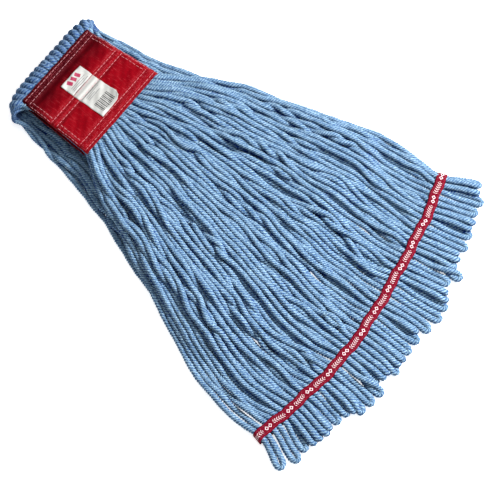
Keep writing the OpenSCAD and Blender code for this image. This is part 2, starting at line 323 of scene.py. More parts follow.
def lay_back_tail():
    """Legs of the back tail: from the centre seam over the fold, and out along the floor."""
    nose = NOSE_RUN
    s = np.arange(-BAND_L / 2 - nose, BACK_TIP_S + 0.001, SLICE_STEP)
    frac = (np.arange(LEGS) + 0.5) / LEGS
    slots, layer = tape_slots()
    on_floor = smooth_step(0.0, 0.08, s)[:, None]
    share = frac + (slots - frac) * smooth_step(0.10, BACK_TAPE_S, s)[:, None]
    flat_s = np.maximum(s, 0)
    left = np.interp(flat_s, BACK_FAN[:, 0], BACK_FAN[:, 1])
    right = np.interp(flat_s, BACK_FAN[:, 0], BACK_FAN[:, 2])
    in_band = smooth_step(-nose + 0.012, -nose - 0.010, s)
    left = left * (1 - in_band) - BAND_HALF_FOLD * in_band
    right = right * (1 - in_band) + BAND_HALF_FOLD * in_band
    edge = YARN_R + 0.001
    lane = (left + edge)[:, None] + share * (right - left - 2 * edge)[:, None]
    lane += wander(s, 0.0034) * (smooth_step(0.02, 0.10, s) * smooth_step(0.43, 0.40, s))[:, None]
    # every fifth leg lies outermost at the fold, where the yarns are fattest
    outer = (np.arange(LEGS) % 5 == 2)[None, :]
    radius = SQUEEZED_R + (YARN_R - SQUEEZED_R) * smooth_step(0.0, 0.14, s)[:, None] * np.ones(LEGS)
    bulge = (1 - in_band)[:, None] * (1 - smooth_step(0.01, 0.07, s)[:, None])
    fat = (SQUEEZED_R + 0.0010) + 0.0011 * bulge
    radius = np.where(outer, np.maximum(radius, fat * (1 - on_floor) + YARN_R * on_floor), radius)
    z = np.where(outer, radius, 0.010 + 0.008 * dice.random(LEGS)) * np.ones_like(lane)
    z = z * (1 - on_floor) + on_floor * (YARN_R + 2 * YARN_R * layer)
    tucked = smooth_step(-nose + 0.009, -nose - 0.002, s)[:, None]
    band_room = BAND_TOP - CORE_BOTTOM - PANEL_ROOM
    high = np.where(s < -nose, band_room, np.where(s < 0, FOLD_ROOM, UNDER_ROOM))[:, None]
    high = np.where(s[:, None] > BAND_L, OPEN_ROOM, high)
    base = (BAND_TOP - CORE_TOP + PANEL_ROOM) * tucked
    ends = BACK_TIP_S - 0.012 * dice.random(LOOPS).repeat(2)
    alive = (s[:, None] <= ends).astype(float)
    grip = np.exp(-(((s - BACK_TAPE_S) / 0.011) ** 2))[:, None] * np.ones(LEGS)
    near_nose = ((s > -nose - 0.02) & (s < 0.004))[:, None] * outer * 0.5
    grip = np.maximum(grip, near_nose)
    hold_z = np.where(near_nose > 0, radius + base, YARN_R + layer * 0.0072)
    slack = 0.015 * (1 - in_band)
    sides = (left + edge - slack)[:, None], (right - edge + slack)[:, None]
    y, z = settle(
        lane.copy(), z, lane, radius, lambda at: base, high, sides, alive,
        0.00025 * smooth_step(-0.01, 0.03, s)[:, None], 150, (grip, lane, hold_z),
    )
    # from the slices to points: the band, the round nose, then the floor
    turn = np.clip((s + nose + NOSE_X) / NOSE_R, 0, math.pi)[:, None]
    deep = NOSE_R - z
    tape_run = np.clip(s / BACK_TAPE_S, 0, 1)[:, None]
    tip_run = np.clip((s - BACK_TAPE_S) / (BACK_TIP_S - BACK_TAPE_S), 0, 1)[:, None]
    floor_x = tape_run * back_tape_x(y) + tip_run * (back_tip_x(y) - back_tape_x(y))
    x = np.where(s[:, None] < -nose, -(s[:, None] + nose), NOSE_X - deep * np.sin(turn))
    straight = (s[:, None] >= -nose) & (turn <= 0)
    x = np.where(straight, -(s[:, None] + nose), x)
    leaving = (s[:, None] < 0) & (turn >= math.pi)
    x = np.where(leaving, s[:, None], x)
    # the fold is rounded off at both ends, where fewer yarns push it out
    start = np.where(y < 0, 0.045, 0.062)
    reach = np.where(y < 0, 0.049, 0.043)
    blunt = 1 - np.clip((np.abs(y) - start) / reach, 0, 0.97) ** 2
    x = np.where(s[:, None] >= 0, floor_x, x * np.sqrt(blunt))
    up = np.where(s[:, None] < 0, NOSE_R + deep * np.cos(turn), z)
    return s, ends, x, y, up, radius, z


# the fan of the front tail: distance along its middle line, left edge, right edge
FRONT_TAPE_S = 0.584
FRONT_TIP_S = 0.664
FRONT_FAN = np.array([
    (0.060, -0.076, 0.076),
    (0.127, -0.0805, 0.0805),
    (0.150, -0.106, 0.103),
    (0.176, -0.117, 0.122),
    (0.242, -0.143, 0.149),
    (0.334, -0.189, 0.178),
    (0.435, -0.237, 0.204),
    (0.494, -0.257, 0.211),
    (0.554, -0.264, 0.212),
    (0.584, -0.259, 0.212),
    (0.612, -0.266, 0.224),
    (0.664, -0.281, 0.238),
])
front_tape_x = bow_line((0.540, 0.209), (0.562, -0.256), 0.034)
front_tip_x = bow_line((0.601, 0.234), (0.603, -0.281), 0.060)


def front_place(s, y):
    """How far from the fold a point lies that is s along the front tail's middle line."""
    before = np.clip((s - BAND_L) / (FRONT_TAPE_S - BAND_L), 0, 1)
    after = np.clip((s - FRONT_TAPE_S) / (FRONT_TIP_S - FRONT_TAPE_S), 0, None)
    beyond = before * (front_tape_x(y) - BAND_L) + after * (front_tip_x(y) - front_tape_x(y))
    return np.minimum(s, BAND_L) + beyond


def lay_front_tail(back_top):
    """Legs of the front tail: out of the headband, over the back tail and down to the floor."""
    s = np.arange(BAND_L / 2, FRONT_TIP_S + 0.001, SLICE_STEP)
    frac = (np.arange(LEGS) + 0.5) / LEGS
    slots, layer = tape_slots()
    share = frac + (slots - frac) * smooth_step(0.15, FRONT_TAPE_S, s)[:, None]
    edge = YARN_R + 0.001
    left = np.interp(s, FRONT_FAN[:, 0], FRONT_FAN[:, 1])
    right = np.interp(s, FRONT_FAN[:, 0], FRONT_FAN[:, 2])
    # the edges are rounded off only past the headband, which ends at about this slice
    band_end = 14
    soften(left[band_end:], 12)
    soften(right[band_end:], 12)
    lane = (left + edge)[:, None] + share * (right - left - 2 * edge)[:, None]
    free = smooth_step(BAND_L, BAND_L + 0.07, s) * smooth_step(FRONT_TAPE_S, FRONT_TAPE_S - 0.04, s)
    loose = smooth_step(FRONT_TAPE_S, FRONT_TIP_S, s)
    calm = 0.3 + 0.7 * smooth_step(0.0, 0.08, frac) * smooth_step(1.0, 0.92, frac)
    lane += wander(s, 0.0027) * (free + 1.2 * loose)[:, None] * calm
    before_tape = smooth_step(0.44, 0.53, s) * smooth_step(FRONT_TAPE_S - 0.006, FRONT_TAPE_S - 0.03, s)
    lane += clumps(s, share, 0.0024) * (0.8 * free + 0.3 * before_tape)[:, None]
    # every fifth leg lies uppermost where the strands leave the headband
    upper = (np.arange(LEGS) % 5 == 2)[None, :]
    grown = smooth_step(BAND_L - 0.01, BAND_L + 0.10, s)[:, None]
    radius = SQUEEZED_R + (YARN_R - SQUEEZED_R) * grown * np.ones(LEGS)
    at_exit = smooth_step(BAND_L - 0.03, BAND_L, s)[:, None]
    radius = np.where(upper, np.maximum(radius, YARN_R * at_exit), radius)
    # the yarns spread out again where nothing holds them any more
    radius *= 1 + 0.09 * loose[:, None]
    x = front_place(s[:, None], lane)
    low = back_top(x, lane)
    core_room = CORE_TOP - CORE_BOTTOM - 2 * YARN_R
    z = CORE_BOTTOM + YARN_R + core_room * dice.random(LEGS) * np.ones_like(lane)
    z = np.where(upper, CORE_TOP - YARN_R, z)
    out = smooth_step(BAND_L, BAND_L + 0.12, s)[:, None]
    z = z * (1 - out) + out * (low + YARN_R + layer * 2 * YARN_R)
    dip = PANEL_ROOM * smooth_step(BAND_L + 0.004, BAND_L - 0.004, s)[:, None]
    floor_row = np.where(s[:, None] < BAND_L, CORE_BOTTOM + dip, 0.0)
    high = CORE_TOP - 0.0006 - dip + np.zeros_like(lane)
    ends = FRONT_TIP_S - 0.016 * dice.random(LOOPS).repeat(2)
    alive = (s[:, None] <= ends).astype(float)
    grip = np.exp(-(((s - FRONT_TAPE_S) / 0.012) ** 2))[:, None] * np.ones(LEGS)
    at_band = ((s > BAND_L - 0.02) & (s < BAND_L + 0.004))[:, None] * upper * 0.5
    grip = np.maximum(grip, at_band)
    hold_z = np.where(at_band > 0, CORE_TOP - dip - YARN_R, YARN_R + layer * 0.0074)
    lift = rises(s, 0.0060) * free[:, None]

    def floor_rest(at):
        return np.maximum(floor_row, back_top(front_place(s[:, None], at), at)) + lift

    slack = 0.015 * smooth_step(BAND_L - 0.005, BAND_L + 0.010, s)
    sides = (left + edge - slack)[:, None], (right - edge + slack)[:, None]
    y, z = settle(
        lane.copy(), z, lane, radius, floor_rest, high, sides, alive,
        0.00025 * smooth_step(BAND_L - 0.005, BAND_L + 0.02, s)[:, None], 170, (grip, lane, hold_z),
    )
    return s, ends, front_place(s[:, None], y), y, z, radius


back_s, back_ends, back_x, back_y, back_z, back_r, back_depth = lay_back_tail()


def cell_of(x, y, x0, y0, cell, size, margin=0):
    """The column and row of a grid of cells that each place lies in."""
    i = np.clip(((x - x0) / cell).astype(int), margin, size[0] - 1 - margin)
    j = np.clip(((y - y0) / cell).astype(int), margin, size[1] - 1 - margin)
    return i, j


def height_of_back():
    """How high the back tail stands at any place, as a function of x and y."""
    x0, y0, cell = -0.03, -0.30, 0.004
    grid = np.zeros((150, 150))
    shown = (back_s[:, None] > 0) & (back_s[:, None] <= back_ends)
    i = ((back_x[shown] - x0) / cell).astype(int)
    tops = (back_z + back_r)[shown] - 0.001
    for shift in (-1, 0, 1):
        j = ((back_y[shown] - y0) / cell).astype(int) + shift
        np.maximum.at(grid, (i, j), tops)
    filled = grid.copy()
    for _ in range(2):
        filled[1:-1] = np.maximum(filled[1:-1], np.maximum(grid[:-2], grid[2:]))
        grid = filled.copy()
    for _ in range(6):
        soften(grid, 1)
        soften(grid.T, 1)

    def top(x, y):
        return grid[cell_of(x, y, x0, y0, cell, grid.shape)]

    return top


back_top = height_of_back()
front_s, front_ends, front_x, front_y, front_z, front_r = lay_front_tail(back_top)


def loop_line(s, ends, x, y, z, radius, loop, start):
    """One loop as a line: leg a outwards from distance start, the tip, and leg b back again."""
    legs = []
    for leg in (2 * loop, 2 * loop + 1):
        rows = (s >= start) & (s <= ends[leg])
        legs.append(np.c_[x[rows, leg], y[rows, leg], z[rows, leg], radius[rows, leg]])
    a, b = legs
    turn = tip_turn(a[:, :3], b[:, :3])
    points = np.vstack([a[:, :3], turn, b[::-1, :3]])
    radii = np.r_[a[:, 3], np.full(len(turn), YARN_R), b[::-1, 3]]
    return even_line(points, radii, RING_STEP)


def surface_maps(lines):
    """A function that gives how deep a place lies among the strands, from 0 to 1, used as painted
    shade.
    """
    size = (300, 240)
    laid_out = (-0.04, -0.30, 0.0025, size)
    top, bottom = np.full(size, -1.0), np.full(size, 1.0)
    for points, radii in lines:
        i, j = cell_of(points[:, 0], points[:, 1], *laid_out, margin=1)
        for di in (-1, 0, 1):
            for dj in (-1, 0, 1):
                np.maximum.at(top, (i + di, j + dj), points[:, 2] + radii)
                np.minimum.at(bottom, (i + di, j + dj), points[:, 2] - radii)

    def painted_shade(points):
        i, j = cell_of(points[:, 0], points[:, 1], *laid_out)
        deep = np.minimum(top[i, j] - points[:, 2], points[:, 2] - bottom[i, j])
        return smooth_step(0.0008, 0.0068, deep)

    return painted_shade


def new_material(name, values):
    """A material, its tree and its main shader, which has the given values."""
    material = bpy.data.materials.new(name)
    material.use_nodes = True
    shader = material.node_tree.nodes["Principled BSDF"]
    for socket, value in values.items():
        shader.inputs[socket].default_value = value
    return material, material.node_tree, shader


def add_node(tree, kind, settings, values):
    """Adds a node and gives its outputs. A value is a constant, or an output to link in."""
    node = tree.nodes.new("ShaderNode" + kind)
    for name, setting in settings.items():
        setattr(node, name, setting)
    for socket, value in values.items():
        if isinstance(value, bpy.types.NodeSocket):
            tree.links.new(value, node.inputs[socket])
        else:
            node.inputs[socket].default_value = value
    return node.outputs


def place_on(tree, kind):
    """Places on the surface, by the kind of coordinates."""
    return tree.nodes.new("ShaderNodeTexCoord").outputs[kind]


def mottle(tree, place, scale, detail=2):
    """Soft noise over the surface."""
    return add_node(tree, "TexNoise", {}, {"Vector": place, "Scale": scale, "Detail": detail})["Fac"]


def spread(tree, value, low, high, kind="LINEAR"):
    """The value as 0 at low and 1 at high."""
    levels = {"Value": value, "From Min": low, "From Max": high}
    return add_node(tree, "MapRange", {"interpolation_type": kind}, levels)["Result"]


def tint(tree, factor, a, b, kind="MIX"):
    """Colour a, turned to colour b by the factor."""
    settings = {"data_type": "RGBA", "blend_type": kind}
    return add_node(tree, "Mix", settings, {"Factor": factor, "A": a, "B": b})["Result"]


def reckon(tree, operation, *values):
    """The result of one operation on constants and outputs."""
    return add_node(tree, "Math", {"operation": operation}, dict(enumerate(values)))[0]


def put_out(group, values):
    """Gives a node group one output for each of the named values."""
    for name in values:
        group.interface.new_socket(name, in_out="OUTPUT", socket_type="NodeSocketFloat")
    end = group.nodes.new("NodeGroupOutput")
    for name, value in values.items():
        group.links.new(value, end.inputs[name])


def cover(tree, shader, colour, height=None, strength=0.0, distance=0.0):
    """Gives the main shader its colour and, where there is a height, its bumps."""
    tree.links.new(colour, shader.inputs["Base Color"])
    if height:
        bump = {"Strength": strength, "Distance": distance, "Height": height}
        tree.links.new(add_node(tree, "Bump", {}, bump)["Normal"], shader.inputs["Normal"])


def fibre_shading():
    """Node group: mottled cotton fibres, patches of tone, painted shade in the ply valleys and deep
    among the strands, and relief.
    """
    group = bpy.data.node_groups.new("cotton_fibres", "ShaderNodeTree")
    place = place_on(group, "Object")
    fuzz = {"Factor": 0.65, "A": mottle(group, place, 900, 3), "B": mottle(group, place, 330)}
    fibre = spread(group, add_node(group, "Mix", {}, fuzz)["Result"], 0.34, 0.66)
    # 1 along the crest of each ply and 0 in the valleys between them
    crest = add_node(group, "Attribute", {"attribute_name": "crest"}, {})["Fac"]
    # two of these outputs are painted shade: one for the valleys between the plies, one for places deep
    # among the strands
    put_out(group, {
        "Fibre": fibre,
        "Patch": mottle(group, place, 60, 3),
        "Painted_valley_shade": spread(group, crest, 0.9, 0.0, "SMOOTHSTEP"),
        "Depth": add_node(group, "Attribute", {"attribute_name": "depth"}, {})["Fac"],
        "Relief": reckon(group, "ADD", fibre, crest),
    })
    return group


def yarn_material():
    """Light steel-blue cotton: pale fuzzy crests, with painted shade in deep saturated blue between the
    plies and among the strands.
    """
    material, tree, shader = new_material("blue_yarn", {
        "Roughness": 0.95,
        "Specular IOR Level": 0.03,
        "Sheen Weight": 0.02,
        "Sheen Roughness": 0.5,
        "Sheen Tint": (0.6, 0.8, 1.0, 1),
    })
    plies = add_node(tree, "Group", {"node_tree": fibre_shading()}, {})
    colour = tint(tree, plies["Patch"], (0.115, 0.215, 0.33, 1), (0.27, 0.41, 0.52, 1))
    colour = tint(tree, 0.85, colour, plies["Fibre"], "SOFT_LIGHT")
    # painted shade: the valleys between the plies are painted deep blue
    colour = tint(tree, plies["Painted_valley_shade"], colour, (0.013, 0.060, 0.22, 1))
    # painted shade: places deep among the strands, and the yarns round the fold, are painted dark blue
    colour = tint(tree, plies["Depth"], colour, (0.004, 0.032, 0.19, 1))
    cover(tree, shader, colour, plies["Relief"], 0.8, 0.0009)
    return material


blue_yarn = yarn_material()

front_lines, back_lines = [], []
for loop in range(LOOPS):
    front_lines.append(
        loop_line(front_s, front_ends, front_x, front_y, front_z, front_r, loop, BAND_L / 2)
    )
    back_lines.append(loop_line(back_s, back_ends, back_x, back_y, back_z, back_r, loop, 0.0))
front_painted_shade = surface_maps(front_lines)
back_painted_shade = surface_maps(back_lines)
for loop, (line, radii) in enumerate(front_lines):
    piece = twist_yarns(f"front_loop_{loop + 1:02d}", [(line, radii)], front_painted_shade)
    piece.data.materials.append(blue_yarn)
    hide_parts(f"front_yarn_bundle_{1 + loop * 6 // LOOPS}")
    bend_from, bend_to = in_row([(0.120, 0, 0.03), (0.150, 0, 0.03)])
    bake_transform(piece)
    route = in_row(line)

for bundle in range(6):
    lines = [back_lines[loop] for loop in range(LOOPS) if loop * 6 // LOOPS == bundle]
    piece = twist_yarns(f"back_loops_{bundle + 1}", lines, back_painted_shade)
    piece.data.materials.append(blue_yarn)
    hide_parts(f"back_yarn_bundle_{bundle + 1}")
    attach(piece, "back_tail")

# the layers of yarn round the fold, by how deep they lie on average, and the rest of each leg
OUTER_DEPTH, MIDDLE_DEPTH = 0.0085, 0.0130
outer_layer, middle, inner, held = [], [], [], []
for leg in range(LEGS):
    points = np.c_[back_x[:, leg], back_y[:, leg], back_z[:, leg]]
    radii = back_r[:, leg]
    in_fold = (back_s >= -NOSE_RUN - SLICE_STEP / 2) & (back_s <= SLICE_STEP)
    in_band = back_s <= -NOSE_RUN + SLICE_STEP / 2
    line = even_line(points[in_fold].copy(), radii[in_fold], RING_STEP)
    mean_depth = back_depth[in_fold, leg].mean()
    if mean_depth < OUTER_DEPTH:
        outer_layer.append(line)
    elif mean_depth < MIDDLE_DEPTH:
        middle.append(line)
    else:
        inner.append(line)
    held.append(even_line(points[in_band].copy(), radii[in_band], RING_STEP))


def fold_painted_shade(places):
    """Painted shade on the yarns round the fold: all of them darker, and more so towards the floor."""
    return 0.40 + 0.20 * smooth_step(0.042, 0.014, places[:, 2])


for name, lines, half in (
    ("fold_yarns_outer", outer_layer, 0.010),
    ("fold_yarns_middle", middle, 0.007),
    ("fold_yarns_inner", inner, 0.004),
):
    piece = twist_yarns(name, lines, fold_painted_shade)
    piece.data.materials.append(blue_yarn)
    bend_from, bend_to = in_row([(0, 0, NOSE_R - half), (0, 0, NOSE_R + half)])
    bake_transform(piece)
piece = twist_yarns("headband_yarns", held)
piece.data.materials.append(blue_yarn)
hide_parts("headband_yarn")
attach(piece, "headband")

# ---------------------------------------------------------------------------
# The two panels of the headband
# Each is a sheet of coarse red plastic-coated mesh with a folded hem along both sides. Rows of
# lockstitch hold the two of them together through the yarn, so the mesh dips along every row.
# ---------------------------------------------------------------------------
HEM_W = 0.0095
PANEL_GAUGE = 0.0008
# places of the sewn rows along the headband
FOLD_ROWS = (0.004, 0.012)
CENTRE_ROWS = (0.055, 0.065)
TAIL_ROWS = (0.110, 0.122)
# the hollows that the sewing pulls into both panels: place, width and depth of each
SEAM_DIPS = (
    (0.018, 0.0045, 0.0026), (0.008, 0.0060, 0.0014),
    (0.055, 0.0030, 0.0018), (0.065, 0.0030, 0.0018), (0.060, 0.0070, 0.0008),
    (0.110, 0.0035, 0.0013), (0.122, 0.0030, 0.0011),
)


def seam_dip(x):
    """How far the sewing pulls a panel in towards the yarn, at a distance x from the fold edge."""
    dip = 0.0
    for centre, width, depth in SEAM_DIPS:
        dip = dip + depth * np.exp(-(((x - centre) / width) ** 2))
    return dip


def band_half(x):
    """Half the width of the headband at a distance x from its fold edge."""
    return BAND_HALF_FOLD + (BAND_HALF_TAIL - BAND_HALF_FOLD) * x / BAND_L


def panel_inset(x, y):
    """How far the face of a panel lies inside the flat headband at a place x, y."""
    in_side = band_half(x) - abs(y)
    hem_step = 0.0005 * (1 - smooth_step(HEM_W, HEM_W + 0.0012, in_side))
    droop = 0.0030 * (1 - smooth_step(0.0, 0.0060, in_side)) ** 2
    rumple = 0.0009 * np.sin(x * 190 + y * 60 + 1.0) * np.sin(y * 130 - x * 50)
    rumple += 0.0005 * np.sin(x * 420 + 2.0) * np.sin(y * 310 + x * 90)
    puff = 0.0012 + rumple * (1 - smooth_step(0.0, 0.0010, seam_dip(x)))
    return seam_dip(x) + droop + puff - hem_step


def piece_from(name, shape):
    """A piece in the scene, smoothly shaded, from a finished bmesh."""
    mesh = bpy.data.meshes.new(name)
    shape.to_mesh(mesh)
    shape.free()
    mesh.shade_smooth()
    piece = bpy.data.objects.new(name, mesh)
    bpy.context.scene.collection.objects.link(piece)
    return piece


def cloth_grid(name, columns, rows, place, size):
    """A sheet whose point at u, v, each from 0 to 1, is place(u, v), with UV in metres."""
    cloth = bmesh.new()
    bmesh.ops.create_grid(cloth, x_segments=columns, y_segments=rows, size=0.5)
    across = cloth.loops.layers.uv.new("UVMap")
    for face in cloth.faces:
        for corner in face.loops:
            u, v = corner.vert.co.x + 0.5, corner.vert.co.y + 0.5
            corner[across].uv = (u * size[0], v * size[1])
    for vert in cloth.verts:
        vert.co = in_row(place(vert.co.x + 0.5, vert.co.y + 0.5))
    return piece_from(name, cloth)


def thicken(piece, gauge, side):
    """Gives a sheet its thickness, on the given side of its face."""
    wall = piece.modifiers.new("thickness", "SOLIDIFY")
    wall.thickness = gauge
    wall.offset = side


# distances across the panel between which the mesh is sewn or lies double, and how strongly
SEWN_STRETCHES = (
    (0.013, 1.0), (0.017, 0.05), (0.049, 0.05), (0.053, 1.0),
    (0.067, 1.0), (0.071, 0.05), (0.104, 0.05), (0.108, 1.0),
)
HEM_STRETCHES = (
    (HEM_W, 1.0), (HEM_W + 0.003, 0.05),
    (2 * BAND_HALF_TAIL - HEM_W - 0.003, 0.05), (2 * BAND_HALF_TAIL - HEM_W, 1.0),
)


def mesh_holes():
    """Node group: the mesh's knitted holes and streaks of painted sheen, with the relief of the knit.

    Knots marks the pale knots where the mesh is sewn or lies double. One more mask is painted shade,
    which darkens the mesh towards its fold edge.
    """
    group = bpy.data.node_groups.new("knitted_holes", "ShaderNodeTree")
    group.interface.new_socket("Pitch", in_out="INPUT", socket_type="NodeSocketFloat")
    pitch = group.nodes.new("NodeGroupInput").outputs["Pitch"]
    place = place_on(group, "UV")
    axes = add_node(group, "SeparateXYZ", {}, {0: place})
    patches = mottle(group, place, 45)

    def knit(scale, randomness):
        values = {"Vector": place, "Scale": scale, "Randomness": randomness}
        return add_node(group, "TexVoronoi", {}, values)["Distance"]

    cells = knit(pitch, 0.25)
    # painted sheen: long pale streaks drawn out along the headband
    sheen_place = add_node(group, "Mapping", {}, {"Vector": place, "Scale": (60, 900, 1)})["Vector"]
    doubled = []
    for axis, length, stops in (
        ("X", BAND_L, SEWN_STRETCHES),
        ("Y", 2 * BAND_HALF_TAIL, HEM_STRETCHES),
    ):
        ramp = group.nodes.new("ShaderNodeValToRGB")
        group.links.new(reckon(group, "DIVIDE", axes[axis], length), ramp.inputs["Fac"])
        ramp.color_ramp.elements[0].color = (1, 1, 1, 1)
        for at, value in stops:
            stop = ramp.color_ramp.elements.new(at / length)
            stop.color = (value, value, value, 1)
        doubled.append(ramp.outputs["Color"])
    knots = spread(group, knit(430, 0.35), 0.36, 0.18, "SMOOTHSTEP")
    knots = reckon(group, "MULTIPLY", knots, reckon(group, "MAXIMUM", *doubled))
    # painted shade: the mesh is painted darker towards the fold edge, with a ragged border
    ragged_fold_shade = reckon(group, "MULTIPLY_ADD", patches, 0.030, axes["X"])
    put_out(group, {
        "Hole": spread(group, cells, 0.34, 0.16, "SMOOTHSTEP"),
        "Painted_sheen": spread(group, mottle(group, sheen_place, 1), 0.60, 0.74),
        "Knots": reckon(group, "MULTIPLY", knots, patches),
        "Painted_fold_shade": spread(group, ragged_fold_shade, 0.078, 0.018, "SMOOTHSTEP"),
        "Relief": cells,
    })
    return group


def red_mesh_material():
    """Dark red mesh: pale at its knots, darker in its pinholes, with streaks of painted sheen and
    painted shade near the fold edge.
    """
    material, tree, shader = new_material("red_mesh", {
        "Roughness": 0.42,
        "Specular IOR Level": 0.05,
        "Specular Tint": (1.0, 0.35, 0.38, 1),
    })
    mesh = add_node(tree, "Group", {"node_tree": mesh_holes()}, {"Pitch": 640})
    colour = (0.20, 0.0010, 0.005, 1)
    # two of these tints are painted light: pale streaks of painted sheen, and painted shade near the
    # fold edge
    for mask, shade in (
        ("Painted_sheen", (0.40, 0.035, 0.045, 1)),
        ("Hole", (0.055, 0.0005, 0.002, 1)),
        ("Painted_fold_shade", (0.030, 0.0004, 0.002, 1)),
        ("Knots", (0.42, 0.07, 0.09, 1)),
    ):
        colour = tint(tree, mesh[mask], colour, shade)
    cover(tree, shader, colour, mesh["Relief"], 0.5, 0.0004)
    return material


red_mesh = red_mesh_material()
BACK_PANEL_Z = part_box("headband_back_panel")[0].z


def on_front_panel(x, y):
    return BAND_TOP - panel_inset(x, y)


def on_back_panel(x, y):
    return BACK_PANEL_Z + panel_inset(x, y)


def front_panel_place(u, v):
    x = u * BAND_L
    y = (2 * v - 1) * band_half(x)
    return x, y, on_front_panel(x, y)


def back_panel_place(u, v):
    x = u * BAND_L
    y = (1 - 2 * v) * band_half(x)
    return x, y, on_back_panel(x, y)


for name, node, place in (
    ("front_panel", "headband_front_panel", front_panel_place),
    ("back_panel", "headband_back_panel", back_panel_place),
):
    panel = cloth_grid(name, 84, 96, place, (BAND_L, 2 * BAND_HALF_TAIL))
    thicken(panel, PANEL_GAUGE, -1)
    panel.data.materials.append(red_mesh)
    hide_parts(node)
    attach(panel, "headband")

# ---------------------------------------------------------------------------
# The label
# A strip of white satin caught under the centre rows, so it has two free flaps. Its print is
# plain: a small coloured mark, a few grey rules and a block of bars.
# ---------------------------------------------------------------------------
label_low, label_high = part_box("label_centre")
LABEL_Y = (label_low.y + label_high.y) / 2 - BAND_MID_Y
LABEL_HALF = (label_high.y - label_low.y) / 2
LABEL_GAUGE = 0.00025
LABEL_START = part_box("label_fold_flap")[0].x - panel_low.x
LABEL_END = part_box("label_tail_flap")[1].x - panel_low.x


def label_lift(x, y):
    """How far the label stands off the panel: it curls up at both ends and at one corner."""
    fold_end = smooth_step(LABEL_START + 0.010, LABEL_START, x) * 0.0012
    corner = smooth_step(-0.006, 0.034, (x - LABEL_END) + (y - LABEL_Y - LABEL_HALF) + 0.034)
    tail_end = 0.0006 * smooth_step(LABEL_END - 0.02, LABEL_END, x)
    return 0.00035 + fold_end + 0.0042 * corner**2 + tail_end


def print_mask(tree, x_from, x_to, y_from, y_to, tilt):
    """A mask that is 1 inside one printed rectangle, in the label's own x and y in metres."""
    turned = add_node(tree, "Mapping", {"vector_type": "TEXTURE"}, {
        "Vector": place_on(tree, "UV"),
        "Location": ((x_from + x_to) / 2, (y_from + y_to) / 2, 0),
        "Rotation": (0, 0, tilt),
    })["Vector"]
    axes = add_node(tree, "SeparateXYZ", {}, {0: turned})
    inside = []
    for axis, half in (("X", (x_to - x_from) / 2), ("Y", (y_to - y_from) / 2)):
        inside.append(reckon(tree, "LESS_THAN", reckon(tree, "ABSOLUTE", axes[axis]), half))
    return reckon(tree, "MULTIPLY", *inside)


def label_material():
    """White satin with its plain print laid on in layers."""
    material, tree, shader = new_material("label_satin", {"Roughness": 0.5})
    weave = mottle(tree, place_on(tree, "UV"), 500)
    colour = tint(tree, weave, (0.35, 0.35, 0.335, 1), (0.47, 0.47, 0.45, 1))
    magenta = (0.28, 0.006, 0.05, 1)
    grey = (0.20, 0.20, 0.20, 1)
    black = (0.04, 0.04, 0.04, 1)
    # each print has its two ends along x, its two ends along y, its tilt and its ink
    prints = [(0.0025, 0.0112, at, at + 0.0056, 0.4, magenta) for at in (0.009, 0.0175, 0.026)]
    for x_from, x_to, y_from, lengths in (
        (0.0135, 0.0146, 0.006, (0.030, 0.026, 0.031, 0.022)),
        (0.037, 0.0381, 0.008, (0.020, 0.027, 0.016, 0.024)),
    ):
        for k, length in enumerate(lengths):
            down = 0.0028 * k
            prints.append((x_from + down, x_to + down, y_from, y_from + length, 0.0, grey))
    at = 0.007
    for k in range(11):
        width = (0.0009, 0.0017, 0.0011, 0.0019)[k * 7 % 4]
        prints.append((0.056, 0.0735, at, at + width, 0.0, black))
        at += width + (0.0010, 0.0016, 0.0011)[k * 5 % 3]
    for *rectangle, ink in prints:
        colour = tint(tree, print_mask(tree, *rectangle), colour, ink)
    cover(tree, shader, colour)
    return material


label_satin = label_material()


def label_place(x_from, x_to):
    """The place function of a stretch of the label between two distances from the fold."""
    def place(u, v):
        x = x_from + u * (x_to - x_from)
        y = LABEL_Y + (2 * v - 1) * LABEL_HALF
        corner = smooth_step(-0.004, 0.010, (x - LABEL_END) + (y - LABEL_Y - LABEL_HALF) + 0.008)
        return x - 0.0035 * corner, y - 0.0035 * corner, on_front_panel(x, y) + label_lift(x, y)
    return place


for name, node, body in (
    ("label_fold_side", "label_fold_flap", "label_fold_side"),
    ("label_middle", "label_centre", "headband"),
    ("label_tail_side", "label_tail_flap", "label_tail_side"),
):
    node_low, node_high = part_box(node)
    x_from, x_to = node_low.x - panel_low.x, node_high.x - panel_low.x
    span = x_to - x_from
    columns = max(4, round(span / 0.0012))
    strip = cloth_grid(name, columns, 30, label_place(x_from, x_to), (span, 2 * LABEL_HALF))
    for corner in strip.data.uv_layers[0].data:
        corner.uv.x += x_from - LABEL_START
    thicken(strip, LABEL_GAUGE, 1)
    strip.data.materials.append(label_satin)
    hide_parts(node)
    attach(strip, body)

# ---------------------------------------------------------------------------
# The tail tapes
# A woven red tape is sewn across each tail. It lies over the strands, goes down round their
# left edge and comes back underneath. White marks are woven into its face.
# ---------------------------------------------------------------------------
TAPE_W = 0.0145
TAPE_GAUGE = 0.0007
TAPE_ROWS = 6
# points along the top of the tape, as many underneath, and those that go round the edge
TAPE_POINTS = 260
WRAP_POINTS = 12
OVERHANG = 0.003


def tape_tops(y, z, radius, row, line_y):
    """The height of the strands' tops near a row of slices, at each of the places line_y."""
    tops = np.zeros_like(line_y)
    for near_row in range(row - 2, row + 3):
        for leg_y, leg_z, leg_r in zip(y[near_row], z[near_row], radius[near_row]):
            near = np.abs(line_y - leg_y) < leg_r
            cap = np.sqrt(np.maximum(leg_r**2 - (line_y - leg_y) ** 2, 0))
            tops = np.where(near, np.maximum(tops, leg_z + cap), tops)
    return tops


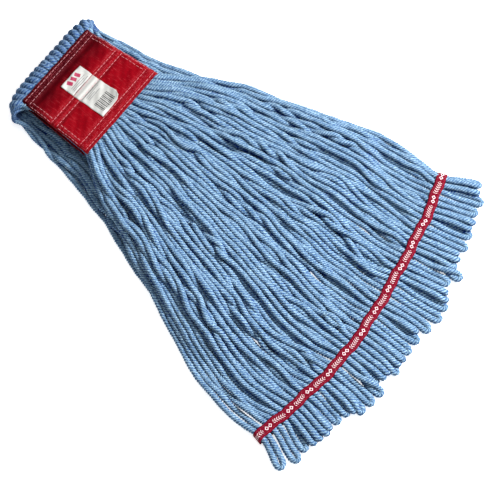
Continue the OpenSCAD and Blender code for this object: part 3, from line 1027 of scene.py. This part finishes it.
def tape_path(line_x, y, z, radius, row):
    """The tape's middle line: right to left on top, down round the edge and back underneath."""
    right, left = y[row].max() + OVERHANG, y[row].min() - OVERHANG
    line_y = np.linspace(right, left, TAPE_POINTS)
    top = tape_tops(y, z, radius, row, line_y)
    for _ in range(10):
        top[1:-1] = np.maximum(top[1:-1], 0.5 * (top[:-2] + top[2:]) - 0.0002)
        soften(top, 1)
    top = top + 0.0007
    under = np.full(TAPE_POINTS, 0.0014)
    turn = np.linspace(0, math.pi, WRAP_POINTS + 2)[1:-1]
    middle, rise = (top[-1] + under[0]) / 2, (top[-1] - under[0]) / 2
    wrap_y = left - 0.0035 * np.sin(turn)
    wrap_z = middle + rise * np.cos(turn)
    ys = np.r_[line_y, wrap_y, line_y[::-1]]
    zs = np.r_[top, wrap_z, under]
    return np.c_[line_x(ys), ys, zs]


def tape_strip(name, path, waves):
    """The tape along its path, a little scalloped where it sinks between the strands."""
    run = np.r_[0, np.cumsum(np.linalg.norm(np.diff(path, axis=0), axis=1))]
    along = np.gradient(path[:, :2], axis=0)
    on_top = np.arange(len(path)) < TAPE_POINTS
    facing = np.where(on_top, 1.0, -1.0)[:, None]
    along *= facing
    side = np.c_[along[:, 1], -along[:, 0]]
    side[TAPE_POINTS:TAPE_POINTS + WRAP_POINTS] = side[TAPE_POINTS - 1]
    side /= np.linalg.norm(side, axis=1)[:, None]
    sway = 0.0009 * np.sin(run / 0.011 + waves) + 0.0006 * np.sin(run / 0.0043 + 2 * waves)
    sway += 0.0018 * np.sin(run / 0.045 + waves)

    def place(u, v):
        at = u * (len(path) - 1)
        k = min(int(at), len(path) - 2)
        f = at - k
        point = path[k] * (1 - f) + path[k + 1] * f
        out = side[k] * (1 - f) + side[k + 1] * f
        shift = (v - 0.5) * TAPE_W + sway[k] * (1 - f) + sway[k + 1] * f
        sag = 0.0003 * (2 * v - 1) ** 2 * (1 if k < TAPE_POINTS else -0.4)
        return point[0] - out[0] * shift, point[1] - out[1] * shift, point[2] - sag

    tape = cloth_grid(name, len(path) - 1, TAPE_ROWS, place, (run[-1], TAPE_W))
    thicken(tape, TAPE_GAUGE, 1)
    return tape, run[-1]


def tape_material():
    """Red woven tape: brighter edge threads, fine ribs, and a row of white diamonds and dashes."""
    material, tree, shader = new_material("red_tape", {"Roughness": 0.6, "Specular IOR Level": 0.05})
    axes = add_node(tree, "SeparateXYZ", {}, {0: place_on(tree, "UV")})
    along = axes["X"]

    def between(value, low, high):
        above = reckon(tree, "GREATER_THAN", value, low)
        return reckon(tree, "MULTIPLY", above, reckon(tree, "LESS_THAN", value, high))

    off_middle = reckon(tree, "ABSOLUTE", reckon(tree, "SUBTRACT", axes["Y"], TAPE_W / 2))
    # two diamonds, then a stretch of slanted dashes, over and over
    repeated = reckon(tree, "SUBTRACT", reckon(tree, "MODULO", along, 0.0062), 0.0031)
    ring = reckon(tree, "ADD", reckon(tree, "ABSOLUTE", repeated), off_middle)
    group_at = reckon(tree, "MODULO", along, 0.0372)
    first = reckon(tree, "LESS_THAN", group_at, 0.0124)
    diamonds = reckon(tree, "MULTIPLY", between(ring, 0.0017, 0.0030), first)
    slanted = reckon(tree, "ADD", along, reckon(tree, "MULTIPLY", off_middle, 0.7))
    dashes = reckon(tree, "LESS_THAN", reckon(tree, "MODULO", slanted, 0.0031), 0.0009)
    dashes = reckon(tree, "MULTIPLY", dashes, reckon(tree, "LESS_THAN", off_middle, 0.0028))
    dashes = reckon(tree, "MULTIPLY", dashes, between(group_at, 0.0155, 0.0341))
    ribs = reckon(tree, "GREATER_THAN", reckon(tree, "MODULO", along, 0.0010), 0.0005)
    colour = tint(tree, ribs, (0.17, 0.001, 0.013, 1), (0.10, 0.001, 0.009, 1))
    colour = tint(tree, between(off_middle, 0.0055, 0.0062), colour, (0.19, 0.003, 0.016, 1))
    marks = reckon(tree, "MAXIMUM", diamonds, dashes)
    colour = tint(tree, marks, colour, (0.72, 0.60, 0.62, 1))
    cover(tree, shader, colour, ribs, 0.3, 0.0003)
    return material


red_tape = tape_material()
front_row = int(np.argmin(np.abs(front_s - FRONT_TAPE_S)))
back_row = int(np.argmin(np.abs(back_s - BACK_TAPE_S)))
front_path = tape_path(front_tape_x, front_y, front_z, front_r, front_row)
back_path = tape_path(back_tape_x, back_y, back_z, back_r, back_row)
for name, node, body, path, waves in (
    ("front_tape", "front_tail_tape", "front_tail", front_path, 1.0),
    ("back_tape", "back_tail_tape", "back_tail", back_path, 4.0),
):
    tape, tape_length = tape_strip(name, path, waves)
    tape.data.materials.append(red_tape)
    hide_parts(node)
    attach(tape, body)

# ---------------------------------------------------------------------------
# The stitching
# Polyester lockstitch, pink on the headband and red on the tapes, one short thread at a time.
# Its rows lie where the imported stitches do, pulled down into the mesh, the label and the tapes.
# ---------------------------------------------------------------------------
THREAD_W = 0.00065
STITCH_L = 0.0054
STITCH_PITCH = 0.0065
OVER_MESH = 0.0003
OVER_LABEL = 0.0009


def thread_material(name, dark, light):
    """Twisted polyester thread, mottled between two tones."""
    material, tree, shader = new_material(name, {"Roughness": 0.55})
    strands = mottle(tree, place_on(tree, "Object"), 1500)
    cover(tree, shader, tint(tree, strands, dark, light))
    return material


band_thread = thread_material("band_thread", (0.46, 0.12, 0.14, 1), (0.66, 0.36, 0.39, 1))
tape_thread = thread_material("tape_thread", (0.16, 0.002, 0.013, 1), (0.23, 0.010, 0.03, 1))


def sew(name, node, body, stitches, thread):
    """A piece of stitches, each given by its two ends."""
    sewn = bmesh.new()
    for a, b in stitches:
        a, b = Vector(in_row(a)), Vector(in_row(b))
        made = bmesh.ops.create_uvsphere(sewn, u_segments=6, v_segments=5, radius=0.5)["verts"]
        bmesh.ops.scale(sewn, verts=made, vec=(THREAD_W, THREAD_W, (b - a).length))
        turn = (b - a).to_track_quat("Z", "Y").to_matrix()
        bmesh.ops.rotate(sewn, verts=made, matrix=turn, cent=(0, 0, 0))
        bmesh.ops.translate(sewn, verts=made, vec=(a + b) / 2)
    piece = piece_from(name, sewn)
    piece.data.materials.append(thread)
    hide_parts(node)
    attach(piece, body)


def row_of_stitches(a, b):
    """Stitches from a to b, as pairs of flat places on the headband."""
    a, b = np.array(a), np.array(b)
    run = np.linalg.norm(b - a)
    count = int(run / STITCH_PITCH)
    lead = (run - (count - 1) * STITCH_PITCH) / 2
    way = (b - a) / run
    middles = [a + way * (lead + k * STITCH_PITCH) for k in range(count)]
    return [(m - way * STITCH_L / 2, m + way * STITCH_L / 2) for m in middles]


def both_faces(flat_stitches):
    """The same stitches on the front and the back panel, on top of the label where it lies."""
    ends = []
    for a, b in flat_stitches:
        over_label = abs(a[1] - LABEL_Y) < LABEL_HALF and LABEL_START < a[0] < LABEL_END
        lift = OVER_LABEL if over_label else OVER_MESH
        ends.append(((*a, on_front_panel(*a) + lift), (*b, on_front_panel(*b) + lift)))
        ends.append(((*a, on_back_panel(*a) - OVER_MESH), (*b, on_back_panel(*b) - OVER_MESH)))
    return ends


for name, node, rows in (
    ("fold_threads", "fold_edge_stitches", FOLD_ROWS),
    ("centre_threads", "centre_seam_stitches", CENTRE_ROWS),
    ("tail_threads", "tail_edge_stitches", TAIL_ROWS),
):
    flat_stitches = []
    for x in rows:
        flat_stitches += row_of_stitches((x, -band_half(x) + 0.001), (x, band_half(x) - 0.001))
    sew(name, node, "headband", both_faces(flat_stitches), band_thread)
for name, node, side in (
    ("left_threads", "left_hem_stitches", -1),
    ("right_threads", "right_hem_stitches", 1),
):
    flat_stitches = []
    for from_side in (0.0025, 0.0085):
        for x0, x1 in ((0.014, 0.053), (0.067, 0.108)):
            a = (x0, side * (band_half(x0) - from_side))
            b = (x1, side * (band_half(x1) - from_side))
            flat_stitches += row_of_stitches(a, b)
    sew(name, node, "headband", both_faces(flat_stitches), band_thread)
for name, node, body, tape_name in (
    ("front_tape_threads", "front_tape_stitches", "front_tail", "front_tape"),
    ("back_tape_threads", "back_tape_stitches", "back_tail", "back_tape"),
):
    # the tape's own grid has one row of points on each of its two sewn lines
    points = [v.co for v in bpy.data.objects[tape_name].data.vertices]
    grid = np.array(points).reshape(TAPE_ROWS + 1, -1, 3) - in_row((0, 0, 0))
    stitches = []
    for line in (1, TAPE_ROWS - 1):
        sewn_line = grid[line].copy()
        on_top = np.arange(len(sewn_line)) < TAPE_POINTS
        sewn_line[:, 2] += np.where(on_top, TAPE_GAUGE + 0.0001, -TAPE_GAUGE)
        for k in range(2, len(sewn_line) - 3, 3):
            # none where the tape goes round the edge
            if not TAPE_POINTS - 3 < k < TAPE_POINTS + WRAP_POINTS + 1:
                stitches.append((sewn_line[k], sewn_line[k + 2]))
    sew(name, node, body, stitches, tape_thread)

# ---------------------------------------------------------------------------
# The floor, the light and the camera
# A pale floor that glows enough to look white, a soft key light from the right, a wide one above.
# The camera stands far off with a long lens, about 70 degrees above the floor.
# ---------------------------------------------------------------------------
FLOOR_HALF = 6.0
FLOOR_DROP = 0.0002
ground = bmesh.new()
bmesh.ops.create_grid(ground, x_segments=1, y_segments=1, size=FLOOR_HALF)
floor = piece_from("floor", ground)
floor.data.transform(Matrix.Translation((0, 0, -FLOOR_DROP)))
pale_floor, _, _ = new_material("pale_floor", {
    "Base Color": (0.9, 0.9, 0.9, 1),
    "Roughness": 0.9,
    "Emission Color": (1, 1, 1, 1),
    "Emission Strength": 0.7,
})
floor.data.materials.append(pale_floor)


def soft_light(name, place, aim, size, power):
    """A white square light of the given size, turned towards aim."""
    light = bpy.data.lights.new(name, "AREA")
    light.size = size
    light.energy = power
    lamp = bpy.data.objects.new(name, light)
    bpy.context.scene.collection.objects.link(lamp)
    lamp.location = place
    lamp.rotation_mode = "QUATERNION"
    lamp.rotation_quaternion = (Vector(aim) - Vector(place)).to_track_quat("-Z", "Y")


CAMERA_PLACE = Vector((0.485, -0.566, 1.885))
CAMERA_AIM = Vector((0.0703, -0.0191, 0.0))
HALF_VIEW = math.radians(10)
camera_data = bpy.data.cameras.new("camera")
camera_data.sensor_width = 36
camera_data.lens = camera_data.sensor_width / 2 / math.tan(HALF_VIEW)
camera = bpy.data.objects.new("camera", camera_data)
bpy.context.scene.collection.objects.link(camera)
camera.location = CAMERA_PLACE
camera.rotation_mode = "QUATERNION"
camera.rotation_quaternion = (CAMERA_AIM - CAMERA_PLACE).to_track_quat("-Z", "Y")
bpy.context.scene.camera = camera

# the camera's right and its up, along the floor
VIEW_TURN = math.radians(37.2)
right_way = Vector((math.cos(VIEW_TURN), math.sin(VIEW_TURN), 0))
up_way = Vector((-right_way.y, right_way.x, 0))
key_place = right_way * 1.5 + up_way * 0.45 + Vector((0, 0, 1.7))
soft_light("key", key_place, (0, 0, 0), 0.55, 120)
soft_light("fill", Vector((0.2, 0.0, 2.6)), (0, 0, 0), 2.6, 26)
world = bpy.data.worlds.new("studio")
world.use_nodes = True
world.node_tree.nodes["Background"].inputs["Color"].default_value = (1, 1, 1, 1)
world.node_tree.nodes["Background"].inputs["Strength"].default_value = 0.16
bpy.context.scene.world = world
bpy.context.scene.view_settings.view_transform = "Standard"
